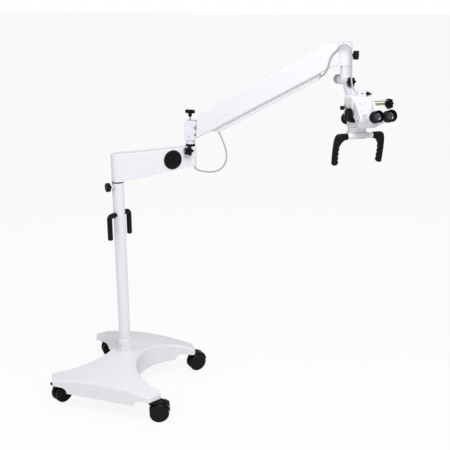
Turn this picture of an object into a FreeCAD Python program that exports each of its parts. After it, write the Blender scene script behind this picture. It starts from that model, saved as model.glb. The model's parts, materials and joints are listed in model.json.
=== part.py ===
import FreeCAD
import Part
import Sketcher
import math
import os
import sys

App = FreeCAD
Vec = App.Vector
doc = App.newDocument("FloorStandMicroscope")
sheet = doc.addObject("Spreadsheet::Sheet", "Sizes")


class Size:
    """A number together with the sheet expression that gives it."""

    def __init__(self, value, text):
        self.value = value
        self.text = text

    def __add__(self, other):
        return joined(self, "+", other)

    def __radd__(self, other):
        return joined(other, "+", self)

    def __sub__(self, other):
        return joined(self, "-", other)

    def __rsub__(self, other):
        return joined(other, "-", self)

    def __mul__(self, other):
        return joined(self, "*", other)

    def __rmul__(self, other):
        return joined(other, "*", self)

    def __truediv__(self, other):
        return joined(self, "/", other)

    def __neg__(self):
        return joined(0, "-", self)


def number(item):
    return float(item.value) if isinstance(item, Size) else float(item)


def words(item):
    return item.text if isinstance(item, Size) else "%.6g" % item


def joined(left, sign, right):
    a = number(left)
    b = number(right)
    value = {"+": a + b, "-": a - b, "*": a * b, "/": a / b if b else 0.0}[sign]
    return Size(value, "(%s %s %s)" % (words(left), sign, words(right)))


rowCount = 0


def size(alias, value):
    global rowCount
    rowCount += 1
    sheet.set("A%d" % rowCount, alias)
    sheet.set("B%d" % rowCount, "%g" % value)
    sheet.setAlias("B%d" % rowCount, alias)
    return Size(value, "Sizes." + alias)


def bind(thing, prop, item):
    if isinstance(item, Size):
        thing.setExpression(prop, item.text)
    else:
        setattr(thing, prop, item)


# one clearance for running fits, one for parts that pass each other
runFit = size("run_fit", 0.08)
airGap = size("air_gap", 0.6)

wheelDia = size("wheel_dia", 100)
wheelWide = size("wheel_wide", 24)
wheelGap = size("wheel_gap", 13)
trail = size("caster_trail", 34)
casterAt = size("caster_at", 277)
stemDia = size("stem_dia", 12)
archRound = size("arch_round", 93)
archTop = size("arch_top", 119)

endFlatX = size("end_flat_x", 274)
endFlatY = size("end_flat_y", 316)
endSideX = size("end_side_x", 324)
endSideY = size("end_side_y", 237)
biteX = size("bite_x", 88)
skirtLow = size("skirt_low", 88)
coverWall = size("cover_wall", 4)
crownRound = size("crown_round", 1350)
crownTop = size("crown_top", 213)
plateThick = size("plate_thick", 8)
plateLow = size("plate_low", 122)
ballastThick = size("ballast_thick", 41)

columnDia = size("column_dia", 60)
columnWall = size("column_wall", 4)
columnTop = size("column_top", 1166)
collarDia = size("collar_dia", 71)
collarTall = size("collar_tall", 81)
collarTop = crownTop + collarTall
spindleDia = size("spindle_dia", 40)
spindleLow = size("spindle_low", 940)
handleReach = size("handle_reach", 72)
handleDrop = size("handle_drop", 125)
handleDia = size("handle_dia", 27)
handleBend = size("handle_bend", 17)

armLength = size("arm_length", 412)
armRound = size("arm_round", 30)
armTall = size("arm_tall", 143)
armEndTall = size("arm_end_tall", 107)
armLow = columnTop + 7
armTop = armLow + armTall
armEndLow = armTop - armEndTall
armWall = size("arm_wall", 5)
badgeAlong = size("badge_along", 295)
badgeDia = size("badge_dia", 100)
badgeDrop = size("badge_drop", 57)

yokeWide = size("yoke_wide", 51)
yokeTall = size("yoke_tall", 122)
yokeLow = armTop + 14
yokeTop = yokeLow + yokeTall
yokeSlot = size("yoke_slot", 36)
pivotAhead = size("pivot_ahead", 38.3)
pivotRise = size("pivot_rise", 89.6)
pivotHigh = yokeLow + pivotRise
pivotSpan = size("pivot_span", 809)
linkDrop = size("link_drop", 38)
pinDia = size("pin_dia", 10)
coverHalf = size("cover_half", 38)
coverOver = size("cover_over", 55.6)
coverUnder = size("cover_under", 52.6)
channelUnder = size("channel_under", 76.4)
shellWall = size("shell_wall", 3)

farHigh = size("far_high", 1810.82)
farBack = size("far_back", 49.79)
housingDrop = size("housing_drop", 57.22)
housingTall = size("housing_tall", 107.8)
housingLow = farHigh - housingDrop
housingTop = housingLow + housingTall
housingBack = size("housing_back", 61.2)
housingFront = size("housing_front", 25.8)
housingWide = size("housing_wide", 52)
tubeDia = size("tube_dia", 50)
rollDrop = size("roll_drop", 71)
rollHigh = housingLow - rollDrop

bodyHalf = size("body_half", 54)
bodyFront = size("body_front", 178)
bodyBack = size("body_back", 91)
tiltBack = size("tilt_back", 104)
tiltKnobOut = size("tilt_knob_out", 126)
tiltDrop = size("tilt_drop", 107.6)
tiltHigh = rollHigh - tiltDrop
bodyTall = size("body_tall", 91)
bandTall = size("band_tall", 27)
noseTall = size("nose_tall", 52)
bandTop = tiltHigh - 40
bodyTop = bandTop + bodyTall
bandLow = bandTop - bandTall
noseLow = bandLow - noseTall
opticY = size("optic_back", 136)
barFront = size("bar_front", 166)
barDrop = size("bar_drop", 15)
barHigh = noseLow - barDrop
drumAhead = size("drum_ahead", 223)
drumDrop = size("drum_drop", 53)
drumHigh = tiltHigh - drumDrop
drumDia = size("drum_dia", 72)
eyeHalf = size("eye_half", 33)

doc.recompute()

armHeading = 46.0
springHeading = 1.39
springPitch = 28.92
headHeading = 38.2
handleHeading = 73.0
knobHeading = 226.0
drumTilt = 16.0
casterHeads = {"fl": (-1, -1, 64.0), "fr": (1, -1, 26.0), "rr": (1, 1, 48.0), "rl": (-1, 1, 40.0)}


def at(x, y, z, heading=0.0, pitch=0.0):
    turn = App.Rotation(Vec(0, 0, 1), heading) * App.Rotation(Vec(0, 1, 0), -pitch)
    return App.Placement(Vec(number(x), number(y), number(z)), turn)


home = at(0, 0, 0)
armFrame = at(0, 0, 0, armHeading)
yawPoint = armFrame.multVec(Vec(armLength.value, 0, 0))
yokeFrame = at(yawPoint.x, yawPoint.y, 0, springHeading)
springFrame = yokeFrame * at(pivotAhead, 0, pivotHigh, 0, springPitch)
farPivot = springFrame.multVec(Vec(pivotSpan.value, 0, 0))
tubePoint = farPivot + yokeFrame.Rotation.multVec(Vec(farBack.value, 0, -farHigh.value))
housingFrame = at(tubePoint.x, tubePoint.y, tubePoint.z, springHeading)
headFrame = at(tubePoint.x, tubePoint.y, tubePoint.z, headHeading)
drumFrame = headFrame * App.Placement(
    Vec(0, -drumAhead.value, drumHigh.value), App.Rotation(Vec(1, 0, 0), -drumTilt)
)

pieces = {}


def start(name, frame=home):
    body = doc.addObject("PartDesign::Body", name)
    body.Label = name
    body.Placement = frame
    pieces[name] = body
    return body


def plane(body, role):
    return [item for item in body.Origin.OriginFeatures if item.Role == role][0]


def sketchOn(body, role, offset=0):
    sketch = body.newObject("Sketcher::SketchObject", body.Label + "_sketch")
    sketch.AttachmentSupport = (plane(body, role), "")
    sketch.MapMode = "FlatFace"
    sketch.AttachmentOffset = App.Placement(Vec(0, 0, number(offset)), App.Rotation())
    if isinstance(offset, Size):
        sketch.setExpression("AttachmentOffset.Base.z", offset.text)
    return sketch


def hold(sketch, kind, where, item):
    index = sketch.addConstraint(Sketcher.Constraint(kind, *where, number(item)))
    if isinstance(item, Size):
        sketch.setExpression("Constraints[%d]" % index, item.text)


def pinPoint(sketch, geo, end, x, y):
    for kind, item in (("DistanceX", x), ("DistanceY", y)):
        if isinstance(item, Size) or abs(item) > 1e-9:
            hold(sketch, kind, (-1, 1, geo, end), item)
        else:
            axis = -2 if kind == "DistanceX" else -1
            sketch.addConstraint(Sketcher.Constraint("PointOnObject", geo, end, axis))


def polygon(body, role, points, offset=0, sketch=None):
    sketch = sketch or sketchOn(body, role, offset)
    first = sketch.GeometryCount
    count = len(points)
    places = [Vec(number(x), number(y), 0) for x, y in points]
    for k in range(count):
        sketch.addGeometry(Part.LineSegment(places[k], places[(k + 1) % count]), False)
    for k in range(count):
        end = first + (k + 1) % count
        sketch.addConstraint(Sketcher.Constraint("Coincident", first + k, 2, end, 1))
    for k, (x, y) in enumerate(points):
        pinPoint(sketch, first + k, 1, x, y)
    return sketch


def circle(body, role, x, y, radius, offset=0, sketch=None):
    sketch = sketch or sketchOn(body, role, offset)
    ring = Part.Circle(Vec(number(x), number(y), 0), Vec(0, 0, 1), number(radius))
    geo = sketch.addGeometry(ring, False)
    pinPoint(sketch, geo, 3, x, y)
    hold(sketch, "Radius", (geo,), radius)
    return sketch


def obround(body, role, length, radius, farRadius, offset=0, begin=0):
    sketch = sketchOn(body, role, offset)
    near = number(begin)
    far = near + number(length)
    r1 = number(radius)
    r2 = number(farRadius)
    up = Vec(0, 0, 1)
    quarter = math.pi / 2
    nearRing = Part.Circle(Vec(near, 0, 0), up, r1)
    farRing = Part.Circle(Vec(far, 0, 0), up, r2)
    sketch.addGeometry(Part.ArcOfCircle(nearRing, quarter, 3 * quarter), False)
    sketch.addGeometry(Part.LineSegment(Vec(near, -r1, 0), Vec(far, -r2, 0)), False)
    sketch.addGeometry(Part.ArcOfCircle(farRing, -quarter, quarter), False)
    sketch.addGeometry(Part.LineSegment(Vec(far, r2, 0), Vec(near, r1, 0)), False)
    for a, b in ((0, 1), (1, 2), (2, 3), (3, 0)):
        sketch.addConstraint(Sketcher.Constraint("Tangent", a, 2, b, 1))
    pinPoint(sketch, 0, 3, begin, 0)
    pinPoint(sketch, 2, 3, begin + length if isinstance(length, Size) else far, 0)
    hold(sketch, "Radius", (0,), radius)
    hold(sketch, "Radius", (2,), farRadius)
    return sketch


def feature(body, kind, sketch):
    made = body.newObject("PartDesign::" + kind, body.Label + "_" + kind.lower())
    made.Profile = sketch
    sketch.Visibility = False
    return made


def pad(body, sketch, length, both=False, back=False):
    made = feature(body, "Pad", sketch)
    bind(made, "Length", length)
    made.Midplane = both
    made.Reversed = back
    return made


def cut(body, sketch, length=None, both=False, back=False):
    made = feature(body, "Pocket", sketch)
    if length is None:
        made.Type = "ThroughAll"
    else:
        bind(made, "Length", length)
    made.Midplane = both
    made.Reversed = back
    return made


def turned(body, points, role="XZ_Plane", axis="V_Axis", kind="Revolution"):
    sketch = polygon(body, role, points)
    made = feature(body, kind, sketch)
    made.ReferenceAxis = (sketch, [axis])
    made.Angle = 360
    return made


def around(body, features, count, role="Z_Axis", angle=360):
    made = body.newObject("PartDesign::PolarPattern", body.Label + "_pattern")
    made.Originals = features
    made.Axis = (plane(body, role), [""])
    made.Angle = angle
    made.Occurrences = count
    body.Tip = made
    return made


def soften(body, radius, test, kind="Fillet"):
    doc.recompute()
    tip = body.Tip
    names = []
    for k, edge in enumerate(tip.Shape.Edges):
        if test(edge):
            names.append("Edge%d" % (k + 1))
    if not names:
        raise RuntimeError(body.Label + ": no edge to soften")
    made = body.newObject("PartDesign::" + kind, body.Label + "_" + kind.lower())
    made.Base = (tip, names)
    bind(made, "Radius" if kind == "Fillet" else "Size", radius)
    return made


def straight(edge, direction):
    if edge.Curve.TypeId != "Part::GeomLine":
        return False
    return abs(abs(edge.Curve.Direction.dot(direction)) - 1) < 1e-4


def level(edge, height, reach=0.01):
    box = edge.BoundBox
    return abs(box.ZMin - number(height)) < reach and abs(box.ZMax - number(height)) < reach


def rod(name, frame, radius, near, far, role="XY_Plane"):
    body = start(name, frame)
    pad(body, circle(body, role, 0, 0, radius, near), far - near)
    return body


def ring(name, frame, inner, outer, low, high):
    body = start(name, frame)
    turned(body, [(inner, low), (outer, low), (outer, high), (inner, high)])
    return body


def gather(name, members):
    """One node for loose pieces of one material that stay together."""
    group = doc.addObject("Part::Compound", name)
    group.Label = name
    group.Links = [pieces.pop(member) for member in members]
    pieces[name] = group
    return group


def facing(frame, x, y, z, direction):
    turn = App.Rotation(Vec(0, 0, 1), Vec(*direction))
    return frame * App.Placement(Vec(number(x), number(y), number(z)), turn)


def starKnob(name, frame, radius, thick, lobes, shaft, reach):
    """Lobed knob: face at z = 0, hub forward, screw running back to -reach."""
    body = start(name, frame)
    pad(body, circle(body, "XY_Plane", 0, 0, radius * 0.72), thick)
    lobe = pad(body, circle(body, "XY_Plane", radius * 0.7, 0, radius * 0.3), thick)
    around(body, [lobe], lobes)
    pad(body, circle(body, "XY_Plane", 0, 0, radius * 0.36, -thick * 0.3), thick * 0.32)
    pad(body, circle(body, "XY_Plane", 0, 0, shaft, -reach), reach)
    soften(body, radius * 0.09, lambda e: level(e, thick) and e.Length > number(radius) * 0.2)


# casters: hood with stem, twin wheels on an axle, brake pedal
for corner, (signX, signY, heading) in casterHeads.items():
    spot = at(signX * casterAt.value, signY * casterAt.value, 0, heading)
    hood = start("caster_hood_" + corner, spot)
    web = polygon(hood, "XZ_Plane", [
        (-20, 114), (22, 114), (50, 108), (74, 92), (trail + 6, 42), (trail - 6, 42), (-16, 96)
    ])
    pad(hood, web, wheelGap - 2 * airGap, both=True)
    cap = polygon(hood, "XZ_Plane", [
        (-20, 105), (22, 105), (46, 102), (70, 90), (86, 62), (90, 64), (75, 96), (50, 109), (22, 114),
        (-20, 114)
    ])
    pad(hood, cap, wheelGap + 1.6 * wheelWide, both=True)
    pad(hood, circle(hood, "XY_Plane", 0, 0, 17, 104), 14)
    pad(hood, circle(hood, "XY_Plane", 0, 0, stemDia / 2, 110), 24)
    cut(hood, circle(hood, "XZ_Plane", trail, wheelDia / 2, 5 + runFit), both=True)
    wheels = start("caster_wheels_" + corner, spot * at(trail, 0, wheelDia / 2))
    inner = wheelGap / 2
    outer = inner + wheelWide
    turned(wheels, [
        (0, -outer), (14, -outer), (18, 2 - outer), (38, 4 - outer), (wheelDia / 2 - 5, -outer + 1),
        (wheelDia / 2, -outer + 6), (wheelDia / 2, -inner - 4), (wheelDia / 2 - 4, -inner), (5, -inner),
        (5, inner), (wheelDia / 2 - 4, inner), (wheelDia / 2, inner + 4), (wheelDia / 2, outer - 6),
        (wheelDia / 2 - 5, outer - 1), (38, outer - 4), (18, outer - 2), (14, outer), (0, outer)
    ], role="XY_Plane")
    if signY > 0:
        continue
    pedal = start("caster_pedal_" + corner, spot * at(64, 0, 103))
    tread = polygon(pedal, "XZ_Plane", [(-6, 2.4), (-3, 6), (4, 5.4), (21, -5), (25, -12), (22, -13), (12, -6)])
    pad(pedal, tread, 34, both=True)
    cut(pedal, circle(pedal, "XZ_Plane", -2, 3, 1.2), both=True)

# base: moulded cover, welded frame, ballast, collar
outline = [
    (-endFlatX, -endFlatY), (endFlatX, -endFlatY), (endSideX, -endSideY),
    (endSideX, endSideY), (endFlatX, endFlatY), (-endFlatX, endFlatY),
    (-endSideX, endSideY), (-endSideX, -endSideY)
]
biteRound = number(endSideY) ** 2 + (endSideX.value - biteX.value) ** 2
biteRound = biteRound / (2 * (endSideX.value - biteX.value))


def plan(name, inset, low, high):
    body = start(name)
    drawn = []
    for x, y in outline:
        drawn.append((x - inset * math.copysign(1, number(x)), y - inset * math.copysign(1, number(y))))
    pad(body, polygon(body, "XY_Plane", drawn, low), high - low)
    for side in (1, -1):
        centre = side * (biteX + biteRound)
        cut(body, circle(body, "XY_Plane", centre, 0, biteRound + inset, high), back=False)
    soften(body, 16 - inset, lambda e: straight(e, Vec(0, 0, 1)))
    del pieces[name]
    return body


def crown(name, inset):
    ball = doc.addObject("Part::Sphere", name)
    bind(ball, "Radius", crownRound - inset)
    ball.Placement = App.Placement(Vec(), App.Rotation(Vec(1, 0, 0), 90))
    ball.setExpression("Placement.Base.z", (crownTop - crownRound).text)
    return ball


def mix(name, kind, first, second):
    made = doc.addObject("Part::" + kind, name)
    made.Base = first
    made.Tool = second
    return made


outside = mix("cover_outside", "Common", plan("cover_plan", 0, skirtLow, 230), crown("crown_outer", 0))
doc.recompute()
rim = []
for k, edge in enumerate(outside.Shape.Edges):
    box = edge.BoundBox
    if box.ZMin > 125 and box.ZMax - box.ZMin < 60 and edge.Length > 12:
        rim.append((k + 1, 9.0, 9.0))
rounded = doc.addObject("Part::Fillet", "cover_rounded")
rounded.Base = outside
rounded.Edges = rim
doc.recompute()
if rounded.Shape.isNull() or not rounded.Shape.isValid():
    raise RuntimeError("cover rim fillet failed")
inside = mix("cover_inside", "Common", plan("cover_void", coverWall, skirtLow - 1, 229),
             crown("crown_inner", coverWall))
shell = mix("cover_shell", "Cut", rounded, inside)
cutters = []
for corner, (signX, signY, heading) in casterHeads.items():
    arch = doc.addObject("Part::Cylinder", "arch_" + corner)
    bind(arch, "Radius", archRound)
    bind(arch, "Height", archTop)
    arch.Placement = at(signX * casterAt.value, signY * casterAt.value, 0)
    doc.recompute()
    dome = doc.addObject("Part::Fillet", "arch_dome_" + corner)
    dome.Base = arch
    dome.Edges = [(k + 1, 30.0, 30.0) for k, edge in enumerate(arch.Shape.Edges) if edge.BoundBox.ZMin > 50]
    cutters.append(dome)
mouth = doc.addObject("Part::Cylinder", "column_mouth")
bind(mouth, "Radius", columnDia / 2 + 5.6)
mouth.Height = 260
cutters.append(mouth)
cover = shell
for k, cutter in enumerate(cutters):
    cover = mix("cover_cut_%d" % k, "Cut", cover, cutter)
cover.Label = "base_cover"
pieces["base_cover"] = cover

frame = start("base_frame")
near = casterAt - 12
wide = casterAt + 12
pad(frame, polygon(frame, "XY_Plane", [
    (-casterAt, -wide), (casterAt, -wide), (casterAt, -near), (70, -near), (70, near), (casterAt, near),
    (casterAt, wide), (-casterAt, wide), (-casterAt, near), (-70, near), (-70, -near), (-casterAt, -near)
], plateLow), plateThick)
boss = pad(frame, circle(frame, "XY_Plane", casterAt, casterAt, 12, 118.6), plateLow + plateThick - 118.6)
around(frame, [boss], 4)
bore = cut(frame, circle(frame, "XY_Plane", casterAt, casterAt, stemDia / 2 + runFit, 110), back=True)
around(frame, [bore], 4)
pad(frame, circle(frame, "XY_Plane", 0, 0, columnDia / 2 + 5, plateLow), 66)
cut(frame, circle(frame, "XY_Plane", 0, 0, columnDia / 2, plateLow + 2), 90, back=True)

for name, side in (("ballast_front", 1), ("ballast_rear", -1)):
    block = start(name)
    pad(block, polygon(block, "XY_Plane", [
        (-80, -40 * side), (80, -40 * side), (95, -96 * side), (121, -142 * side), (158, -186 * side),
        (168, -292 * side), (-168, -292 * side), (-158, -186 * side), (-121, -142 * side), (-95, -96 * side)
    ], plateLow - ballastThick), ballastThick)
    soften(block, 10, lambda e: straight(e, Vec(0, 0, 1)))

collar = start("column_collar")
turned(collar, [
    (columnDia / 2, crownTop - 0.27), (56, crownTop - 1.07), (57, crownTop + 0.4), (50, crownTop + 2.5),
    (42, crownTop + 8), (38, crownTop + 17), (collarDia / 2 + 0.4, crownTop + 31),
    (collarDia / 2, collarTop - 3), (collarDia / 2 - 3, collarTop), (columnDia / 2, collarTop)
])
for height in (collarTop - 33, collarTop - 61):
    cut(collar, circle(collar, "XZ_Plane", 0, height, 3.3), 60, back=True)
screws = start("collar_screws")
for height in (collarTop - 33, collarTop - 61):
    pad(screws, circle(screws, "XZ_Plane", 0, height, 3.3, columnDia / 2), collarDia / 2 - columnDia / 2 - 1)
for height in (collarTop - 33, collarTop - 61):
    cut(screws, circle(screws, "XZ_Plane", 0, height, 1.6, 31), 10, back=True)
collar.Placement = at(0, 0, 0, -18)
screws.Placement = at(0, 0, 0, -18)

column = start("column_tube")
turned(column, [
    (columnDia / 2 - columnWall, plateLow + 2.4), (columnDia / 2, plateLow + 2.4),
    (columnDia / 2, columnTop), (columnDia / 2 - columnWall, columnTop)
])
knobLine = at(0, 0, 0, knobHeading)
pad(column, circle(column, "YZ_Plane", 0, columnTop - 21, 9, columnDia / 2 - 3), 9.5)
cut(column, circle(column, "YZ_Plane", 0, columnTop - 21, 4 + runFit, 10), 60, back=True)
column.Placement = knobLine
for name, low in (("bush_upper", columnTop - 17), ("bush_lower", spindleLow + 8)):
    bush = start(name)
    flange = 1 if name == "bush_upper" else 0
    top = columnTop.value if flange else low + 24
    boreRound = columnDia / 2 - columnWall
    points = [(spindleDia / 2 + runFit, low), (boreRound, low), (boreRound, top)]
    if flange:
        points += [(columnDia / 2, top), (columnDia / 2, top + 6)]
        top = top + 6
    points.append((spindleDia / 2 + runFit, top))
    turned(bush, points)
starKnob("column_knob", facing(knobLine, 44, 0, columnTop - 21, (1, 0, 0)), 23.5, 20, 7,
         4, 44 - spindleDia / 2 - 0.5)

for name, turn in (("push_handle_a", 0), ("push_handle_b", 180)):
    grip = start(name, at(0, 0, 999, handleHeading + turn))
    begin = columnDia / 2 - 6
    path = sketchOn(grip, "XZ_Plane")
    r = handleBend.value
    x0 = begin.value
    x1 = handleReach.value
    down = -handleDrop.value
    path.addGeometry(Part.LineSegment(Vec(x0, 0, 0), Vec(x1 - r, 0, 0)), False)
    bend = Part.Circle(Vec(x1 - r, -r, 0), Vec(0, 0, 1), r)
    path.addGeometry(Part.ArcOfCircle(bend, 0, math.pi / 2), False)
    path.addGeometry(Part.LineSegment(Vec(x1, -r, 0), Vec(x1, down, 0)), False)
    path.addConstraint(Sketcher.Constraint("Tangent", 0, 2, 1, 2))
    path.addConstraint(Sketcher.Constraint("Tangent", 1, 1, 2, 1))
    pinPoint(path, 0, 1, begin, 0)
    path.addConstraint(Sketcher.Constraint("Horizontal", 0))
    path.addConstraint(Sketcher.Constraint("Vertical", 2))
    hold(path, "Radius", (1,), handleBend)
    pinPoint(path, 2, 2, handleReach, -handleDrop)
    section = circle(grip, "YZ_Plane", 0, 0, handleDia / 2, begin)
    pipe = grip.newObject("PartDesign::AdditivePipe", name + "_pipe")
    pipe.Profile = section
    pipe.Spine = path
    soften(grip, 5, lambda e: level(e, -handleDrop.value))
    cut(grip, circle(grip, "XY_Plane", 0, 0, columnDia / 2, -40), 90, back=True)

gather("push_handles", ["push_handle_a", "push_handle_b"])
gather("ballast", ["ballast_front", "ballast_rear"])
gather("base_fittings", ["bush_upper", "bush_lower", "collar_screws"])

# horizontal arm
arm = start("arm_shell", armFrame)
pad(arm, obround(arm, "XY_Plane", armLength, armRound, armRound, armLow), armTop - armLow)
slope = [(armRound + 4, armLow - 5), (armLength + 60, armLow - 5), (armLength + 60, armEndLow),
         (armLength - 32, armEndLow), (armRound + 4, armLow)]
cut(arm, polygon(arm, "XZ_Plane", slope), both=True)
soften(arm, 5, lambda e: level(e, armTop))
hollow = obround(arm, "XY_Plane", armLength - 118, armRound - armWall, armRound - armWall, armTop - armWall, 58)
cut(arm, hollow)
cut(arm, circle(arm, "XY_Plane", 0, 0, spindleDia / 2, armLow - 10), 90, back=True)
cut(arm, circle(arm, "XY_Plane", armLength, 0, 16, armTop - 84), back=True)
cut(arm, circle(arm, "XZ_Plane", armLength - 34, armTop - 15, 3 + runFit), 40, back=True)
under = start("arm_underplate", armFrame)
rise = (armEndLow - armLow) / (armLength - armRound - 36)
nearHigh = armLow + rise * (54 - armRound)
endHigh = armLow + rise * (armLength - armRound - 64)
pad(under, polygon(under, "XZ_Plane", [
    (58, nearHigh + 4), (armLength - 60, endHigh + 4), (armLength - 60, endHigh + 7), (58, nearHigh + 7)
]), 2 * (armRound - armWall) - 0.6, both=True)
rod("arm_spindle", armFrame, spindleDia / 2, spindleLow, armLow + 80)
ring("arm_washer", armFrame, spindleDia / 2, columnDia / 2 - 1, columnTop + 6.3, armLow)
badge = start("round_badge", facing(armFrame, badgeAlong, -armRound, armTop - badgeDrop, (0, -1, 0)))
turned(badge, [(0, 0), (badgeDia / 2, 0), (badgeDia / 2, 3), (badgeDia / 2 - 3, 6), (badgeDia / 2 - 7, 6),
               (badgeDia / 2 - 9, 4.6), (0, 4.6)])
ring("arm_end_bush", armFrame * at(armLength, 0, 0), 14 + runFit, 16, armTop - 80, armTop)
ring("arm_end_ring", armFrame * at(armLength, 0, 0), 14 + runFit, 25, armTop, armTop + 12)
starKnob("arm_knob", facing(armFrame, armLength - 34, -armRound - 10, armTop - 15, (0, -1, 0)), 25,
         20, 5, 3, 24)

gather("arm_fittings", ["arm_spindle", "arm_washer", "arm_end_bush"])
gather("arm_trims", ["round_badge", "arm_end_ring"])
gather("horizontal_arm", ["arm_shell", "arm_underplate"])

# yoke that turns on the arm's end and carries the spring arm
yoke = start("yoke", yokeFrame)
pad(yoke, polygon(yoke, "XZ_Plane", [
    (-26, yokeLow + 26), (-22, yokeLow + 22), (24, yokeLow + 22), (44, yokeLow + 32), (52, yokeLow + 44),
    (56, pivotHigh - 20), (54, yokeTop - 10), (44, yokeTop), (-18, yokeTop), (-26, yokeTop - 8)
]), yokeWide, both=True)
pad(yoke, circle(yoke, "XY_Plane", 0, 0, 25, yokeLow), 30)
cut(yoke, polygon(yoke, "XZ_Plane", [
    (12, yokeLow + 30), (80, yokeLow + 30), (80, yokeTop + 10), (12, yokeTop + 10)
]), yokeSlot, both=True)
for drop in (0, linkDrop):
    cut(yoke, circle(yoke, "XZ_Plane", pivotAhead, pivotHigh - drop, pinDia / 2), both=True)
soften(yoke, 4, lambda e: straight(e, Vec(0, 0, 1)) and e.BoundBox.XMax < -20)
rod("yoke_spindle", yokeFrame, 14, armTop - 78, yokeLow + 30)
cut(yoke, circle(yoke, "XY_Plane", 0, 0, 14, yokeLow - 1), 31, back=True)
for name, drop in (("arm_pivot_pin", 0), ("link_pivot_pin", linkDrop)):
    pin = start(name, yokeFrame)
    pad(pin, circle(pin, "XZ_Plane", pivotAhead, pivotHigh - drop, pinDia / 2), yokeWide + 2, both=True)
    pad(pin, circle(pin, "XZ_Plane", pivotAhead, pivotHigh - drop, pinDia / 2 + 3, yokeWide / 2), 3)
neckScrews = start("yoke_screws", yokeFrame)
for height in (yokeLow + 38, yokeLow + 16):
    pad(neckScrews, circle(neckScrews, "XZ_Plane", 2, height, 3, yokeWide / 2 - 6), 6.6)
    cut(yoke, circle(yoke, "XZ_Plane", 2, height, 3, yokeWide / 2 - 6), 20, back=True)
tee = start("tee_knob", yokeFrame)
turned(tee, [
    (0, yokeTop - 20), (2.5, yokeTop - 20), (2.5, yokeTop + 18), (9.5, yokeTop + 20), (9.5, yokeTop + 36),
    (0, yokeTop + 36)
])
pad(tee, circle(tee, "YZ_Plane", 0, yokeTop + 46, 10, -25), 50)
soften(tee, 4, lambda e: abs(e.BoundBox.XMin - e.BoundBox.XMax) < 0.01 and e.Length > 50)
cut(yoke, circle(yoke, "XY_Plane", 0, 0, 2.5 + runFit, yokeTop - 22), 40, back=True)

gather("yoke_fittings", ["yoke_spindle", "arm_pivot_pin", "link_pivot_pin", "yoke_screws"])

# spring arm: shell, inner beam, gas strut, cable channel; guide link apart
shellOut = [(47, coverOver), (pivotSpan - 32, coverOver), (pivotSpan - 15, -coverUnder), (-21, -coverUnder)]
spring = start("arm_cover", springFrame)
pad(spring, polygon(spring, "XZ_Plane", shellOut), 2 * coverHalf, both=True)
soften(spring, 9, lambda e: straight(e, Vec(1, 0, 0)))
cut(spring, polygon(spring, "XZ_Plane", [
    (-80, coverOver - shellWall), (pivotSpan + 60, coverOver - shellWall),
    (pivotSpan + 60, shellWall - coverUnder), (-80, shellWall - coverUnder)
]), 2 * (coverHalf - shellWall), both=True)
for x0, x1 in ((-40, 62), (pivotSpan - 78, pivotSpan + 20)):
    cut(spring, polygon(spring, "XZ_Plane", [
        (x0, shellWall - coverUnder + 2), (x1, shellWall - coverUnder + 2), (x1, -coverUnder - 2),
        (x0, -coverUnder - 2)
    ]), 58, both=True)
beam = start("arm_beam", springFrame)
pad(beam, obround(beam, "XZ_Plane", pivotSpan, 13, 13), 34, both=True)
beamSlot = polygon(beam, "XZ_Plane", [(30, 9), (pivotSpan - 30, 9), (pivotSpan - 30, -9), (30, -9)])
cut(beam, beamSlot, 26, both=True)
for x in (0, pivotSpan):
    cut(beam, circle(beam, "XZ_Plane", x, 0, pinDia / 2 + runFit), both=True)
strutA = rod("gas_strut", springFrame * at(120, 0, 33), 11, 0, 330, "YZ_Plane")
pad(strutA, circle(strutA, "YZ_Plane", 0, 0, 5, 330), 120)
brackets = start("strut_brackets", springFrame)
for x0, x1 in ((110, 120), (570, 580)):
    pad(brackets, polygon(brackets, "XZ_Plane", [
        (x0, 13), (x1, 13), (x1, coverOver - shellWall), (x0, coverOver - shellWall)
    ]), 34, both=True)
clips = start("cover_clips", springFrame)
for x0 in (200, 600):
    for side in (1, -1):
        block = polygon(clips, "XZ_Plane", [(x0, 6), (x0 + 30, 6), (x0 + 30, -6), (x0, -6)], side * 17)
        pad(clips, block, coverHalf - shellWall - 17, back=side < 0)
channel = start("cable_channel", springFrame)
pad(channel, polygon(channel, "XZ_Plane", [
    (66, -coverUnder), (pivotSpan - 108, -coverUnder), (pivotSpan - 127, -channelUnder), (93, -channelUnder)
]), 40, both=True)
soften(channel, 5, lambda e: straight(e, Vec(1, 0, 0)) and e.BoundBox.ZMax < -60)
link = start("guide_link", springFrame * App.Placement(Vec(), App.Rotation(Vec(0, 1, 0), springPitch)) *
             at(0, 0, -linkDrop, 0, springPitch))
pad(link, obround(link, "XZ_Plane", pivotSpan, 9, 9), 16, both=True)
for x in (0, pivotSpan):
    cut(link, circle(link, "XZ_Plane", x, 0, pinDia / 2 + runFit), both=True)

gather("arm_inside", ["arm_beam", "strut_brackets", "cover_clips"])

# far housing, drop tube and locking knob
housing = start("far_housing", housingFrame)
pad(housing, polygon(housing, "XZ_Plane", [
    (-housingBack, housingLow), (housingFront, housingLow), (housingFront, housingTop - 4),
    (housingFront - 4, housingTop), (-housingBack + 4, housingTop),
    (-housingBack, housingTop - 4)
]), housingWide, both=True)
soften(housing, 17, lambda e: straight(e, Vec(0, 0, 1)) and e.BoundBox.XMin > 0)
cut(housing, polygon(housing, "XZ_Plane", [
    (-housingBack - 30, housingLow - 14), (17 - farBack, housingLow - 14), (17 - farBack, housingTop + 10),
    (-housingBack - 30, housingTop + 10)
]), yokeSlot, both=True)
for drop in (0, linkDrop):
    cut(housing, circle(housing, "XZ_Plane", -farBack, farHigh - drop, pinDia / 2), both=True)
cut(housing, circle(housing, "XY_Plane", 0, 0, 17, housingLow - 1), 84, back=True)
for name, drop in (("beam_far_pin", 0), ("link_far_pin", linkDrop)):
    pin = start(name, housingFrame)
    pad(pin, circle(pin, "XZ_Plane", -farBack, farHigh - drop, pinDia / 2), housingWide, both=True)
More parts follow.
